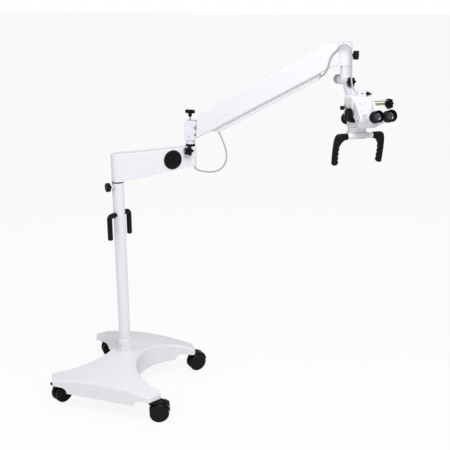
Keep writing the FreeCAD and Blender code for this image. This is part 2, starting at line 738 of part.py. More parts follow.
ring("tube_bush", housingFrame, 15 + runFit, 17, housingLow, housingLow + 83)
lids = start("housing_screws", housingFrame)
for x in (-16, -4, 8, 16):
    pad(lids, circle(lids, "XY_Plane", x, 12, 2.6, housingTop), 2.4)
starKnob("far_knob", facing(housingFrame, housingFront + 8.2, 0, farHigh - 8, (1, 0, 0)), 21, 25, 9,
         3, 13)
cut(housing, circle(housing, "YZ_Plane", 0, farHigh - 8, 3 + runFit, 10), 30, back=True)

gather("far_fittings", ["beam_far_pin", "link_far_pin", "tube_bush", "housing_screws"])

drop = start("drop_tube", headFrame)
turned(drop, [(0, rollHigh - 18.6), (14, rollHigh - 17.6), (22, rollHigh - 11.6), (tubeDia / 2, rollHigh - 2.6),
              (tubeDia / 2, housingLow - 0.5), (0, housingLow - 0.5)])
pad(drop, circle(drop, "XZ_Plane", 0, rollHigh, 22, -44), 68)
cut(drop, circle(drop, "XZ_Plane", 0, rollHigh, 10, -46), 100, back=True)
rod("tube_spindle", headFrame, 15, housingLow - 0.5, housingLow + 80)
ring("roll_bush", facing(headFrame, 0, 44, rollHigh, (0, -1, 0)), 8 + runFit, 10, 0, 68)

gather("tube_fittings", ["tube_spindle", "roll_bush"])

# carrier: rolls about the front-to-back shaft, holds the tilt barrel
carrier = start("tilt_carrier", headFrame)
pad(carrier, circle(carrier, "XZ_Plane", 0, rollHigh, 25, 25.6), 20)
pad(carrier, polygon(carrier, "YZ_Plane", [
    (-45.6, rollHigh - 10), (-25.6, rollHigh - 10), (-25.6, rollHigh - 31), (-tiltBack + 14, tiltHigh - 4),
    (-tiltBack - 8, tiltHigh + 6), (-tiltBack - 2, tiltHigh + 34), (-52, rollHigh - 24.6), (-45.6, rollHigh - 22.6)
]), 46, both=True)
pad(carrier, circle(carrier, "YZ_Plane", -tiltBack, tiltHigh, 21), 60, both=True)
cut(carrier, circle(carrier, "YZ_Plane", -tiltBack, tiltHigh, 8 + runFit), both=True)
cut(carrier, circle(carrier, "XZ_Plane", 0, rollHigh, 8), 93, both=True)
rollShaft = rod("roll_shaft", facing(headFrame, 0, 50, rollHigh, (0, -1, 0)), 8, 0, 94.8)
cut(rollShaft, circle(rollShaft, "XY_Plane", 0, 0, 3 + runFit, 84), 30, back=True)
cap = start("roll_cap", facing(headFrame, 0, 50, rollHigh, (0, 1, 0)))
turned(cap, [(0, 0), (22.5, 0), (22.5, 26), (18, 32), (8, 34), (0, 34)])
starKnob("roll_knob", facing(headFrame, 0, -52.6, rollHigh, (0, -1, 0)), 21.5, 18, 6, 3, 14)

# microscope head
head = start("head_body", headFrame)
pad(head, polygon(head, "XY_Plane", [
    (-bodyHalf, -bodyFront), (bodyHalf, -bodyFront), (bodyHalf, -bodyBack), (-bodyHalf, -bodyBack)
], bandTop), bodyTop - bandTop)
soften(head, 11, lambda e: straight(e, Vec(0, 0, 1)))
soften(head, 7, lambda e: level(e, bodyTop))
cut(head, polygon(head, "YZ_Plane", [
    (-bodyBack + 20, tiltHigh - 26), (-tiltBack - 12, tiltHigh - 26), (-tiltBack - 27, tiltHigh - 12),
    (-tiltBack - 30, bodyTop + 20), (-bodyBack + 20, bodyTop + 20)
]), 63, both=True)
cut(head, circle(head, "YZ_Plane", -tiltBack, tiltHigh, 8), both=True)
cut(head, circle(head, "YZ_Plane", -bodyFront + 14, tiltHigh - 26, 5 + runFit), both=True)
band = start("head_band", headFrame)
pad(band, polygon(band, "XY_Plane", [
    (-bodyHalf - 1.5, -bodyFront - 1.5), (bodyHalf + 1.5, -bodyFront - 1.5), (bodyHalf + 1.5, -bodyBack + 1.5),
    (-bodyHalf - 1.5, -bodyBack + 1.5)
], bandLow), bandTop - bandLow)
soften(band, 11, lambda e: straight(e, Vec(0, 0, 1)))
nose = start("objective_housing", headFrame * at(0, -opticY, 0))
turned(nose, [(35, noseLow), (40, noseLow), (41.5, noseLow + 2), (51, bandLow), (32, bandLow), (32, noseLow + 6),
               (35, noseLow + 6)])
glass = start("objective_lens", headFrame * at(0, -opticY, 0))
turned(glass, [(0, noseLow + 6.8), (32, noseLow + 8), (32, noseLow + 14), (0, noseLow + 17)])
module = start("lamp_module", headFrame)
pad(module, polygon(module, "XY_Plane", [
    (-24, -bodyFront + 3), (44, -bodyFront + 3), (44, -bodyFront + 40), (-24, -bodyFront + 40)
], bodyTop), 25)
soften(module, 5, lambda e: straight(e, Vec(0, 0, 1)))
soften(module, 2.5, lambda e: level(e, bodyTop + 25))
lampDial = start("lamp_dial", facing(headFrame, 23, -bodyFront + 2.6, bodyTop + 14, (0, -1, 0)))
turned(lampDial, [(0, -4), (2.4, -4), (2.4, 0), (9, 0), (8, 6), (0, 6)])
cut(module, circle(module, "XZ_Plane", 23, bodyTop + 14, 2.5, bodyFront - 10), 30, back=True)
rod("tilt_shaft", facing(headFrame, -bodyHalf, -tiltBack, tiltHigh, (1, 0, 0)), 8, 0, 2 * bodyHalf + 22)
rod("tilt_rod", facing(headFrame, bodyHalf, -tiltBack - 4, tiltHigh + 15, (1, 0, 0)), 2.5, -6, tiltKnobOut)
starKnob("tilt_knob", facing(headFrame, bodyHalf + tiltKnobOut, -tiltBack, tiltHigh, (1, 0, 0)), 25, 20, 7,
         4, tiltKnobOut - 24)
tiltShaft = pieces["tilt_shaft"]
cut(tiltShaft, circle(tiltShaft, "XY_Plane", 0, 0, 4 + runFit, 2 * bodyHalf - 40), 90, back=True)
mags = start("zoom_knobs", facing(headFrame, 0, -bodyFront + 14, tiltHigh - 26, (1, 0, 0)))
turned(mags, [
    (0, -bodyHalf - 20), (22, -bodyHalf - 20), (25, -bodyHalf - 17), (25.5, -bodyHalf - 1.9), (5, -bodyHalf - 1.9),
    (5, bodyHalf + 1.9), (25.5, bodyHalf + 1.9), (25, bodyHalf + 17), (22, bodyHalf + 20), (0, bodyHalf + 20)
])
filterKnob = start("filter_knob", facing(headFrame, -bodyHalf - 1, -118, tiltHigh - 5, (-1, 0, 0)))
turned(filterKnob, [(0, -12), (3, -12), (3, 12), (9, 12), (10, 14), (10, 25), (8, 27), (0, 27)])
cut(head, circle(head, "YZ_Plane", -118, tiltHigh - 5, 3 + runFit, -bodyHalf + 13), 30)
dial = start("rear_dial", facing(headFrame, -22, -bodyBack + 7, bandLow + 5, (0, 1, 0)))
turned(dial, [(0, -12), (4, -12), (4, 0), (29, 0), (30, 2), (30, 13), (27, 16), (0, 16)])
cut(band, circle(band, "XZ_Plane", -22, bandLow + 5, 4 + runFit, bodyBack - 4), 12, back=True)

# handle bar under the objective and its two grips
bar = start("handle_bar", headFrame)
pad(bar, circle(bar, "XY_Plane", 0, -opticY, 49, barHigh - 12), noseLow - barHigh + 12)
pad(bar, circle(bar, "YZ_Plane", -barFront, barHigh, 14), 2 * 66, both=True)
cut(bar, circle(bar, "XY_Plane", 0, -opticY, 39, barHigh - 30), back=True)
for name, side in (("grip_left", -1), ("grip_right", 1)):
    grip = start(name, headFrame * at(side * 66, -barFront, barHigh, 0 if side > 0 else 180) *
                 App.Placement(Vec(), App.Rotation(Vec(1, 0, 0), 7 * side)))
    pad(grip, polygon(grip, "XZ_Plane", [
        (0, -15), (0, 15), (52, 15), (60, 9), (66, -10), (69, -60), (68, -134), (62, -139), (42, -138),
        (38, -130), (40, -60), (28, -32), (14, -16)
    ]), 28, both=True)
    scallop = cut(grip, circle(grip, "XZ_Plane", 34, -58, 9), both=True)
    spread = grip.newObject("PartDesign::LinearPattern", name + "_fingers")
    spread.Originals = [scallop]
    spread.Direction = (plane(grip, "Z_Axis"), [""])
    spread.Length = 62
    spread.Reversed = True
    spread.Occurrences = 4
    grip.Tip = spread
    soften(grip, 5, lambda e: e.Curve.TypeId == "Part::GeomLine" and abs(abs(e.BoundBox.YMin) - 14) < 0.01
           and abs(e.BoundBox.YMax - e.BoundBox.YMin) < 0.01
           and (e.BoundBox.XMin > 59 or e.BoundBox.ZMin > 8))

# binocular head: cheeks on the body, tilting drum, sliding eyepiece tubes
mount = start("bino_mount", headFrame)
pad(mount, circle(mount, "XZ_Plane", 0, tiltHigh + 3, 33, bodyFront), 6)
for side in (1, -1):
    cheek = polygon(mount, "YZ_Plane", [
        (-bodyFront, tiltHigh + 31), (-bodyFront, tiltHigh - 37), (-drumAhead - 16, drumHigh - 24),
        (-drumAhead - 30, drumHigh + 4),
        (-drumAhead - 18, drumHigh + 28), (-bodyFront - 14, tiltHigh + 31)
    ], side * 42)
    pad(mount, cheek, 8, back=side < 0)
pad(mount, polygon(mount, "XZ_Plane", [
    (-50, tiltHigh - 35), (50, tiltHigh - 35), (50, tiltHigh + 27), (-50, tiltHigh + 27)
], bodyFront), 4)
cut(mount, circle(mount, "YZ_Plane", -drumAhead, drumHigh, 6), both=True)
pinB = start("bino_pin", facing(headFrame, 0, -drumAhead, drumHigh, (1, 0, 0)))
pad(pinB, circle(pinB, "XY_Plane", 0, 0, 6), 100, both=True)
drum = start("bino_drum", drumFrame)
pad(drum, circle(drum, "YZ_Plane", 0, 0, drumDia / 2), 82, both=True)
pad(drum, polygon(drum, "YZ_Plane", [
    (-10, 31), (-10, -32), (-60, -27), (-84, -24), (-84, 24), (-60, 29)
]), 82, both=True)
cut(drum, circle(drum, "YZ_Plane", 0, 0, 6 + runFit), both=True)
soften(drum, 7, lambda e: abs(abs(e.BoundBox.XMin) - 41) < 0.01 and abs(e.BoundBox.XMax - e.BoundBox.XMin) < 0.01
       and straight(e, Vec(0, 1, 0)) is False and e.BoundBox.YMax < -8)
for name, side in (("left", -1), ("right", 1)):
    tube = start("eye_tube_" + name, facing(drumFrame, side * eyeHalf.value, -84.5, 0, (0, -1, 0)))
    turned(tube, [(13, 0), (23, 0), (23, 22), (21, 24), (21, 34), (13, 34)])
    cup = start("eyecup_" + name, facing(drumFrame, side * eyeHalf.value, -84.5, 0, (0, -1, 0)))
    turned(cup, [
        (11, 28), (12.9, 28), (12.9, 35), (26, 35), (27.5, 38), (27.5, 52), (25, 56), (28, 74), (27, 75), (24, 66),
        (16, 58), (11, 58)
    ])
gather("head_shafts", ["tilt_shaft", "tilt_rod", "bino_pin"])
gather("handle_grips", ["grip_left", "grip_right"])


def cord(name, points, radius):
    """Straight runs joined by tangent arcs, swept with a round section."""
    runs = [(points[k + 1] - points[k]).Length for k in range(len(points) - 1)]
    edges = []
    last = points[0]
    radii = []
    for k in range(1, len(points) - 1):
        back = (points[k - 1] - points[k]).normalize()
        ahead = (points[k + 1] - points[k]).normalize()
        half = (math.pi - back.getAngle(ahead)) / 2
        trim = 0.45 * min(runs[k - 1], runs[k])
        radii.append(trim / math.tan(half))
        one = points[k] + back * trim
        two = points[k] + ahead * trim
        middle = (back + ahead).normalize()
        depth = radii[-1] / math.cos(half) - radii[-1]
        edges.append(Part.LineSegment(last, one).toShape())
        edges.append(Part.Arc(one, points[k] + middle * depth, two).toShape())
        last = two
    edges.append(Part.LineSegment(last, points[-1]).toShape())
    wire = Part.Wire(edges)
    section = Part.Wire(Part.Circle(points[0], points[1] - points[0], radius).toShape())
    shape = wire.makePipeShell([section], True, False)
    ideal = wire.Length * math.pi * radius ** 2
    print("%s length %.0f radii %s volume ratio %.4f" % (
        name, wire.Length, " ".join("%.0f" % r for r in radii), shape.Volume / ideal))
    made = doc.addObject("Part::Feature", name)
    made.Label = name
    made.Shape = shape
    pieces[name] = made


loopPoints = [(22, 0, 1207.4), (28, -1, 1193), (50, -3, 1186), (92, -8, 1183), (140, -13, 1188), (182, -18, 1211),
              (206, -20, 1256), (203, -19, 1306), (188, -15, 1345)]
loop = [yokeFrame.multVec(Vec(*point)) for point in loopPoints]
loop.append(springFrame.multVec(Vec(97, -12, -channelUnder.value - 30)))
loop.append(springFrame.multVec(Vec(97, -10, 4 - channelUnder.value)))
cord("cable_loop", loop, 4)
nearDrape = [(686, -12, -65), (712, -26, -66), (732, -42, -60), (760, -45, -36), (792, -45, 0)]
topDrape = [(760, -44, 1830), (776, -42, 1852), (812, -42, 1852), (828, -47, 1810), (831, -57, 1758)]
headDrape = [(-15, -84, 1700), (-17, -106, 1656), (-15, -136.2, 1642)]
drape = [springFrame.multVec(Vec(*point)) for point in nearDrape]
drape += [yokeFrame.multVec(Vec(*point)) for point in topDrape]
drape += [headFrame.multVec(Vec(*point)) for point in headDrape]
cord("cable_drape", drape, 4)

doc.recompute()
os.makedirs("parts", exist_ok=True)
bad = [item.Label for item in doc.Objects if "Invalid" in item.State or "Error" in item.State]
for name, piece in pieces.items():
    print("%s %.1f cm3" % (name, piece.Shape.Volume / 1000))
    if piece.Shape.isNull() or not piece.Shape.isValid():
        bad.append(name)
if bad:
    print("broken: " + ", ".join(bad))
    sys.exit(1)
for name, piece in pieces.items():
    piece.Shape.exportStep("parts/" + name + ".step")
print("%d pieces written" % len(pieces))
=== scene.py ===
import bpy
import bmesh
import json
import math
from mathutils import Matrix, Vector


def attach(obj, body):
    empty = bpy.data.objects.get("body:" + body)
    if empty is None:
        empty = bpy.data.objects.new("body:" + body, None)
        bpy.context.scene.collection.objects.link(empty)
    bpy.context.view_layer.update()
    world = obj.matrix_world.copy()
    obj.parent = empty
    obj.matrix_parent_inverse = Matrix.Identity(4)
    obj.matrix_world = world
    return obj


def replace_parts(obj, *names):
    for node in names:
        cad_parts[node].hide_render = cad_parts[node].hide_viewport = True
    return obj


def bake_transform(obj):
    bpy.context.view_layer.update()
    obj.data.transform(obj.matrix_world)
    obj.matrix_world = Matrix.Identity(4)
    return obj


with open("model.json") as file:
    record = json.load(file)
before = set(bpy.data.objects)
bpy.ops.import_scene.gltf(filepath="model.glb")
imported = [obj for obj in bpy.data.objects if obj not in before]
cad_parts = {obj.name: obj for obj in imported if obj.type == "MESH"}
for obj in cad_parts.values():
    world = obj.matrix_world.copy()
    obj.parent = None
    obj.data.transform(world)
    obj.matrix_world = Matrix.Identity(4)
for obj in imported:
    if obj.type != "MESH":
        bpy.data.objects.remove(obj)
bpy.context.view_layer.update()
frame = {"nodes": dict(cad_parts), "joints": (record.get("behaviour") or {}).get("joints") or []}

scene = bpy.context.scene
print("frame loaded:", len(frame["nodes"]), "nodes")

# places on the object, read from the frame's joints
joints = {joint["name"]: joint for joint in frame["joints"]}


def spot(jointName):
    return Vector(joints[jointName]["pos_m"])


def axis(jointName):
    return Vector(joints[jointName]["axis"])


def placeOf(origin, x, y):
    # x and y of the result point along the two directions
    return Matrix.Translation(origin) @ Matrix((x, y, x.cross(y))).transposed().to_4x4()


def toward(place, at, direction):
    # z of the result points along the direction
    turn = Vector(direction).to_track_quat("Z", "Y").to_matrix().to_4x4()
    return place @ Matrix.Translation(Vector(at)) @ turn


def metres(points):
    return [(a / 1000, b / 1000) for a, b in points]


underTube = Vector((*spot("drop_tube_turn").xy, 0))  # on the floor
headPlace = placeOf(underTube, axis("head_tilt"), axis("head_roll"))
drumPlace = placeOf(spot("binocular_tilt"), axis("binocular_tilt"), -axis("diopter_left_turn"))
upSpring = (spot("far_housing_level") - spot("arm_lift")).normalized()
springEnd = placeOf(spot("far_housing_level"), upSpring, -axis("arm_lift"))

# finishes
finishes = {
    "whitePaint": dict(color=(0.85, 0.84, 0.9), rough=0.36, speck=900, bump=0.05, drift=0.02, coat=0.25),
    "whiteSteel": dict(color=(0.84, 0.84, 0.89), rough=0.32, speck=700, bump=0.04, drift=0.02, coat=0.3),
    "whiteShell": dict(color=(0.87, 0.86, 0.91), rough=0.28, speck=350, bump=0.025, drift=0.015, coat=0.3),
    # painted shade: the roll cap is white, and this grey stands in for the shade that falls on it
    "paintedShadeGrey": dict(color=(0.46, 0.45, 0.44), rough=0.4, speck=900, bump=0.06, drift=0.04, coat=0.1),
    "blackMoulding": dict(color=(0.004, 0.0055, 0.005), rough=0.42, speck=1600, bump=0.12, drift=0.25,
                          shine=0.16),
    "blackRubber": dict(color=(0.004, 0.0055, 0.005), rough=0.5, speck=1100, bump=0.22, drift=0.3,
                        shine=0.16),
    "treadRubber": dict(color=(0.004, 0.005, 0.0045), rough=0.45, speck=500, bump=0.15, drift=0.35,
                        shine=0.18),
    "blackSteel": dict(color=(0.03, 0.03, 0.032), rough=0.45, speck=800, bump=0.1, drift=0.2),
    "castIron": dict(color=(0.06, 0.058, 0.055), rough=0.7, speck=260, bump=0.4, drift=0.35),
    "cableSheath": dict(color=(0.42, 0.45, 0.43), rough=0.42, speck=600, bump=0.06, drift=0.05, coat=0.05),
    "brightSteel": dict(color=(0.6, 0.59, 0.57), rough=0.26, speck=400, bump=0.03, drift=0.08, metal=1.0),
    "goldSteel": dict(color=(0.66, 0.55, 0.32), rough=0.24, speck=400, bump=0.03, drift=0.08, metal=1.0),
    "redInk": dict(color=(0.5, 0.02, 0.02), rough=0.5, speck=900, bump=0.02, drift=0.05),
}
surface = dict(coatRough=0.2, brushStretch=(1, 1, 14), speckDetail=3, driftScale=9, driftDetail=4,
               glossiest=0.85, dullest=1.2, reliefDepth=0.0004)


def makeFinish(name, look):
    mat = bpy.data.materials.new(name)
    mat.use_nodes = True
    nodes, links = mat.node_tree.nodes, mat.node_tree.links
    shader = nodes["Principled BSDF"]
    shader.inputs["Metallic"].default_value = look.get("metal", 0.0)
    shader.inputs["Coat Weight"].default_value = look.get("coat", 0.0)
    shader.inputs["Coat Roughness"].default_value = surface["coatRough"]
    shader.inputs["Specular IOR Level"].default_value = look.get("shine", 0.5)
    coords = nodes.new("ShaderNodeTexCoord")
    source = coords.outputs["Object"]
    if "metal" in look:
        # bare metal is brushed: its specks are drawn out along one axis
        stretch = nodes.new("ShaderNodeMapping")
        stretch.inputs["Scale"].default_value = surface["brushStretch"]
        links.new(source, stretch.inputs["Vector"])
        source = stretch.outputs["Vector"]
    fine = nodes.new("ShaderNodeTexNoise")
    fine.inputs["Scale"].default_value = look["speck"]
    fine.inputs["Detail"].default_value = surface["speckDetail"]
    broad = nodes.new("ShaderNodeTexNoise")
    broad.inputs["Scale"].default_value = surface["driftScale"]
    broad.inputs["Detail"].default_value = surface["driftDetail"]
    links.new(source, fine.inputs["Vector"])
    links.new(coords.outputs["Object"], broad.inputs["Vector"])
    tint = nodes.new("ShaderNodeMix")
    tint.data_type = "RGBA"
    low = [c * (1 - look["drift"]) for c in look["color"]]
    high = [min(1, c * (1 + look["drift"])) for c in look["color"]]
    tint.inputs["A"].default_value = (*low, 1)
    tint.inputs["B"].default_value = (*high, 1)
    links.new(broad.outputs["Fac"], tint.inputs["Factor"])
    links.new(tint.outputs["Result"], shader.inputs["Base Color"])
    gloss = nodes.new("ShaderNodeMapRange")
    gloss.inputs["To Min"].default_value = look["rough"] * surface["glossiest"]
    gloss.inputs["To Max"].default_value = min(1, look["rough"] * surface["dullest"])
    links.new(broad.outputs["Fac"], gloss.inputs["Value"])
    links.new(gloss.outputs["Result"], shader.inputs["Roughness"])
    relief = nodes.new("ShaderNodeBump")
    relief.inputs["Strength"].default_value = look["bump"]
    relief.inputs["Distance"].default_value = surface["reliefDepth"]
    links.new(fine.outputs["Fac"], relief.inputs["Height"])
    links.new(relief.outputs["Normal"], shader.inputs["Normal"])
    return mat


lensLook = dict(middle=(0.012, 0.012, 0.02), edge=(0.10, 0.16, 0.26), blend=0.45, rough=0.04)


def makeLens(name, look):
    mat = bpy.data.materials.new(name)
    mat.use_nodes = True
    nodes, links = mat.node_tree.nodes, mat.node_tree.links
    shader = nodes["Principled BSDF"]
    shader.inputs["Roughness"].default_value = look["rough"]
    shader.inputs["Coat Weight"].default_value = 1.0
    angle = nodes.new("ShaderNodeLayerWeight")
    angle.inputs["Blend"].default_value = look["blend"]
    tint = nodes.new("ShaderNodeMix")
    tint.data_type = "RGBA"
    tint.inputs["A"].default_value = (*look["middle"], 1)
    tint.inputs["B"].default_value = (*look["edge"], 1)
    links.new(angle.outputs["Facing"], tint.inputs["Factor"])
    links.new(tint.outputs["Result"], shader.inputs["Base Color"])
    return mat


finish = {name: makeFinish(name, look) for name, look in finishes.items()}
finish["coatedLens"] = makeLens("coatedLens", lensLook)

nodesOf = {
    "whiteShell": "base_cover arm_cover cable_channel head_body lamp_module",
    "whitePaint": "column_collar horizontal_arm yoke far_housing drop_tube tilt_carrier objective_housing "
                  "handle_bar bino_mount bino_drum eye_tube_left eye_tube_right",
    "whiteSteel": "column_tube",
    # the roll cap gets painted shade, a grey in place of its white
    "paintedShadeGrey": "roll_cap",
    "blackMoulding": "base_fittings push_handles column_knob arm_trims arm_knob tee_knob far_knob roll_knob "
                     "head_band tilt_knob lamp_dial zoom_knobs filter_knob rear_dial",
    "blackRubber": "handle_grips eyecup_left eyecup_right",
    "blackSteel": "base_frame gas_strut",
    "castIron": "ballast",
    "treadRubber": "",
    "brightSteel": "arm_fittings yoke_fittings arm_inside guide_link far_fittings tube_fittings roll_shaft",
    "goldSteel": "head_shafts",
    "coatedLens": "objective_lens",
}
for corner in ("fl", "fr", "rr", "rl"):
    nodesOf["blackMoulding"] += f" caster_hood_{corner} caster_pedal_{corner}"
    nodesOf["treadRubber"] += f" caster_wheels_{corner}"
nodeFinish = {node: finishName for finishName, names in nodesOf.items() for node in names.split()}
for name, obj in frame["nodes"].items():
    if name not in nodeFinish:
        continue
    if not obj.material_slots:
        obj.data.materials.append(finish[nodeFinish[name]])
    for row in obj.material_slots:
        row.material = finish[nodeFinish[name]]
print("finishes on the frame's nodes")

# camera
view = dict(at=(1.63725, -3.2371, 2.07075), heading=18.163, down=17.53, lens=57.95)
eye = bpy.data.cameras.new("photoView")
eye.lens = view["lens"]
eye.sensor_width = 36
camera = bpy.data.objects.new("photoView", eye)
camera.location = view["at"]
camera.rotation_euler = (math.radians(90 - view["down"]), 0, math.radians(view["heading"]))
scene.collection.objects.link(camera)
scene.camera = camera


# makers
def fromMesh(name, mesh, smoothAngle=40):
    for face in mesh.polygons:
        face.use_smooth = True
    mesh.set_sharp_from_angle(angle=math.radians(smoothAngle))
    obj = bpy.data.objects.new(name, mesh)
    scene.collection.objects.link(obj)
    return obj


def fromWork(name, work, smoothAngle=40):
    bmesh.ops.recalc_face_normals(work, faces=work.faces)
    mesh = bpy.data.meshes.new(name)
    work.to_mesh(mesh)
    work.free()
    return fromMesh(name, mesh, smoothAngle)


def carried(obj, body):
    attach(obj, body)
    return obj


def dressed(obj, finishName, body, slotName):
    obj.data.materials.append(finish[finishName])
    return carried(obj, body)


def joinRings(work, rings):
    # a ring of one point is a pole
    for low, high in zip(rings, rings[1:]):
        steps = max(len(low), len(high))
        for k in range(steps):
            after = (k + 1) % steps
            if len(low) == 1:
                work.faces.new((low[0], high[after], high[k]))
            elif len(high) == 1:
                work.faces.new((low[k], low[after], high[0]))
            else:
                work.faces.new((low[k], low[after], high[after], high[k]))


def lathe(name, profile, place, steps=48, smoothAngle=40):
    # profile in millimetres: (radius, height) from the bottom pole to the top pole
    work = bmesh.new()
    rings = []
    for radius, height in metres(profile):
        turns = [2 * math.pi * k / steps for k in range(steps if radius > 0 else 1)]
        rings.append([work.verts.new((radius * math.cos(a), radius * math.sin(a), height)) for a in turns])
    joinRings(work, rings)
    work.transform(place)
    return fromWork(name, work, smoothAngle)


def tube(name, rings, place, smoothAngle=40):
    # skin through rings of points, closed by a face at each end
    work = bmesh.new()
    rings = [[work.verts.new(point) for point in ring] for ring in rings]
    joinRings(work, rings)
    work.faces.new(rings[0])
    work.faces.new(list(reversed(rings[-1])))
    work.transform(place)
    return fromWork(name, work, smoothAngle)


def slab(name, outline, low, high, edge, place):
    # flat plate with rounded edges, in millimetres: outline in the place's x and z, thickness along its y
    work = bmesh.new()
    face = work.faces.new([work.verts.new((x, low / 1000, z)) for x, z in metres(outline)])
    lifted = bmesh.ops.extrude_face_region(work, geom=[face])["geom"]
    for vert in [item for item in lifted if isinstance(item, bmesh.types.BMVert)]:
        vert.co.y = high / 1000
    work.transform(place)
    bmesh.ops.recalc_face_normals(work, faces=work.faces)
    bmesh.ops.bevel(work, geom=work.edges[:], offset=edge / 1000, segments=2, profile=0.6, affect="EDGES")
    return fromWork(name, work, 50)


# node trees for what repeats
def startTree(name, sockets):
    tree = bpy.data.node_groups.new(name, "GeometryNodeTree")
    tree.interface.new_socket("Geometry", in_out="OUTPUT", socket_type="NodeSocketGeometry")
    for label, kind in sockets.items():
        tree.interface.new_socket(label, in_out="INPUT", socket_type="NodeSocket" + kind)
    return tree


def endTree(tree, points, piece, finishName):
    # the piece on every point, as real geometry in its finish
    new, link = tree.nodes.new, tree.links.new
    place = new("GeometryNodeInstanceOnPoints")
    link(points.outputs["Mesh"], place.inputs["Points"])
    link(piece.outputs["Mesh"], place.inputs["Instance"])
    real = new("GeometryNodeRealizeInstances")
    link(place.outputs["Instances"], real.inputs["Geometry"])
    skin = new("GeometryNodeSetMaterial")
    skin.inputs["Material"].default_value = finish[finishName]
    link(real.outputs["Geometry"], skin.inputs["Geometry"])
    link(skin.outputs["Geometry"], new("NodeGroupOutput").inputs["Geometry"])
    return tree


def makeRibTree():
    # bars round a ring, each lying along the ring's axis
    tree = startTree("ringOfRibs", {"Count": "Int", "Ring radius": "Float", "Rib length": "Float",
                                    "Rib radius": "Float"})
    new, link = tree.nodes.new, tree.links.new
    given = new("NodeGroupInput")
    ring = new("GeometryNodeMeshCircle")
    link(given.outputs["Count"], ring.inputs["Vertices"])
    link(given.outputs["Ring radius"], ring.inputs["Radius"])
    rib = new("GeometryNodeMeshCylinder")
    rib.inputs["Vertices"].default_value = 8
    link(given.outputs["Rib radius"], rib.inputs["Radius"])
    link(given.outputs["Rib length"], rib.inputs["Depth"])
    return endTree(tree, ring, rib, "blackMoulding")


def makeScrewTree():
    # a row of button screws with hexagon sockets, spaced along x, heads along z
    tree = startTree("screwRow", {"Count": "Int", "Spacing": "Float", "Head radius": "Float"})
    new, link = tree.nodes.new, tree.links.new
    given = new("NodeGroupInput")

    def share(factor):
        node = new("ShaderNodeMath")
        node.operation = "MULTIPLY"
        node.inputs[1].default_value = factor
        link(given.outputs["Head radius"], node.inputs[0])
        return node.outputs[0]

    def vector(letter, value):
        node = new("ShaderNodeCombineXYZ")
        link(value, node.inputs[letter])
        return node.outputs["Vector"]

    headHigh, socketRadius = share(0.7), share(0.5)
    row = new("GeometryNodeMeshLine")
    link(given.outputs["Count"], row.inputs["Count"])
    link(vector("X", given.outputs["Spacing"]), row.inputs["Offset"])
    head = new("GeometryNodeMeshCylinder")
    head.inputs["Vertices"].default_value = 24
    link(given.outputs["Head radius"], head.inputs["Radius"])
    link(headHigh, head.inputs["Depth"])
    socket = new("GeometryNodeMeshCylinder")
    socket.inputs["Vertices"].default_value = 6
    link(socketRadius, socket.inputs["Radius"])
    link(headHigh, socket.inputs["Depth"])
    lift = new("GeometryNodeTransform")
    link(vector("Z", socketRadius), lift.inputs["Translation"])
    link(socket.outputs["Mesh"], lift.inputs["Geometry"])
    hollow = new("GeometryNodeMeshBoolean")
    hollow.operation = "DIFFERENCE"
    link(head.outputs["Mesh"], hollow.inputs["Mesh 1"])
    link(lift.outputs["Geometry"], hollow.inputs["Mesh 2"])
    return endTree(tree, row, hollow, "brightSteel")


ribTree, screwTree = makeRibTree(), makeScrewTree()


def grown(name, tree, place, body, wanted):
    # a tree's result as a plain mesh, with the wanted value for each of its inputs
    holder = bpy.data.objects.new(name + "Holder", bpy.data.meshes.new(name + "Holder"))
    scene.collection.objects.link(holder)
    maker = holder.modifiers.new("maker", "NODES")
    maker.node_group = tree
    for item in tree.interface.items_tree:
        if item.in_out == "INPUT":
            maker[item.identifier] = wanted[item.name]
    bpy.context.view_layer.update()
    mesh = bpy.data.meshes.new_from_object(holder.evaluated_get(bpy.context.evaluated_depsgraph_get()))
    bpy.data.objects.remove(holder)
    mesh.transform(place)
    return carried(fromMesh(name, mesh), body)


print("makers ready")

# cables, each through the same points as its solid in the part
cableDiameter = 0.008
cables = {
    "loop": dict(route=[(0.3082, 0.2969, 1.2074), (0.3142, 0.296, 1.193), (0.3363, 0.2946, 1.186),
                        (0.3784, 0.2906, 1.183), (0.4265, 0.2868, 1.188), (0.4686, 0.2828, 1.211),
                        (0.4926, 0.2814, 1.256), (0.4896, 0.2823, 1.306), (0.4745, 0.2859, 1.345),
                        (0.4611, 0.2886, 1.3734), (0.4446, 0.2902, 1.4031)], node="cable_loop",
                 a="yoke", b="spring_arm", start=(0.33, 0.29, 1.2), end=(0.45, 0.29, 1.39)),
    "drape": dict(route=[(0.9565, 0.3006, 1.6944), (0.9801, 0.2872, 1.7061), (0.995, 0.2716, 1.7211),
                         (1.008, 0.2689, 1.7556), (1.0186, 0.2691, 1.8026), (1.047, 0.2708, 1.83),
                         (1.063, 0.2732, 1.852), (1.099, 0.2741, 1.852), (1.1151, 0.2695, 1.81),
                         (1.1183, 0.2595, 1.758), (1.1223, 0.2404, 1.7), (1.1344, 0.2219, 1.656),
                         (1.1546, 0.1994, 1.642)], node="cable_drape",
                  a="spring_arm", b="far_housing", start=(0.97, 0.3, 1.7), end=(1.04, 0.29, 1.82)),
}


def splineOf(name, route, bevel):
    line = bpy.data.curves.new(name, "CURVE")
    line.dimensions = "3D"
    run = line.splines.new("NURBS")
    run.points.add(len(route) - 1)
    for point, place in zip(run.points, route):
        point.co = (*place, 1)
    run.order_u = 3
    run.use_endpoint_u = True
    run.resolution_u = 12
    line.bevel_depth = bevel
    line.bevel_resolution = 5
    line.use_fill_caps = True
    obj = bpy.data.objects.new(name, line)
    scene.collection.objects.link(obj)
    bpy.context.view_layer.update()
    mesh = bpy.data.meshes.new_from_object(obj.evaluated_get(bpy.context.evaluated_depsgraph_get()))
    bpy.data.objects.remove(obj)
    return mesh


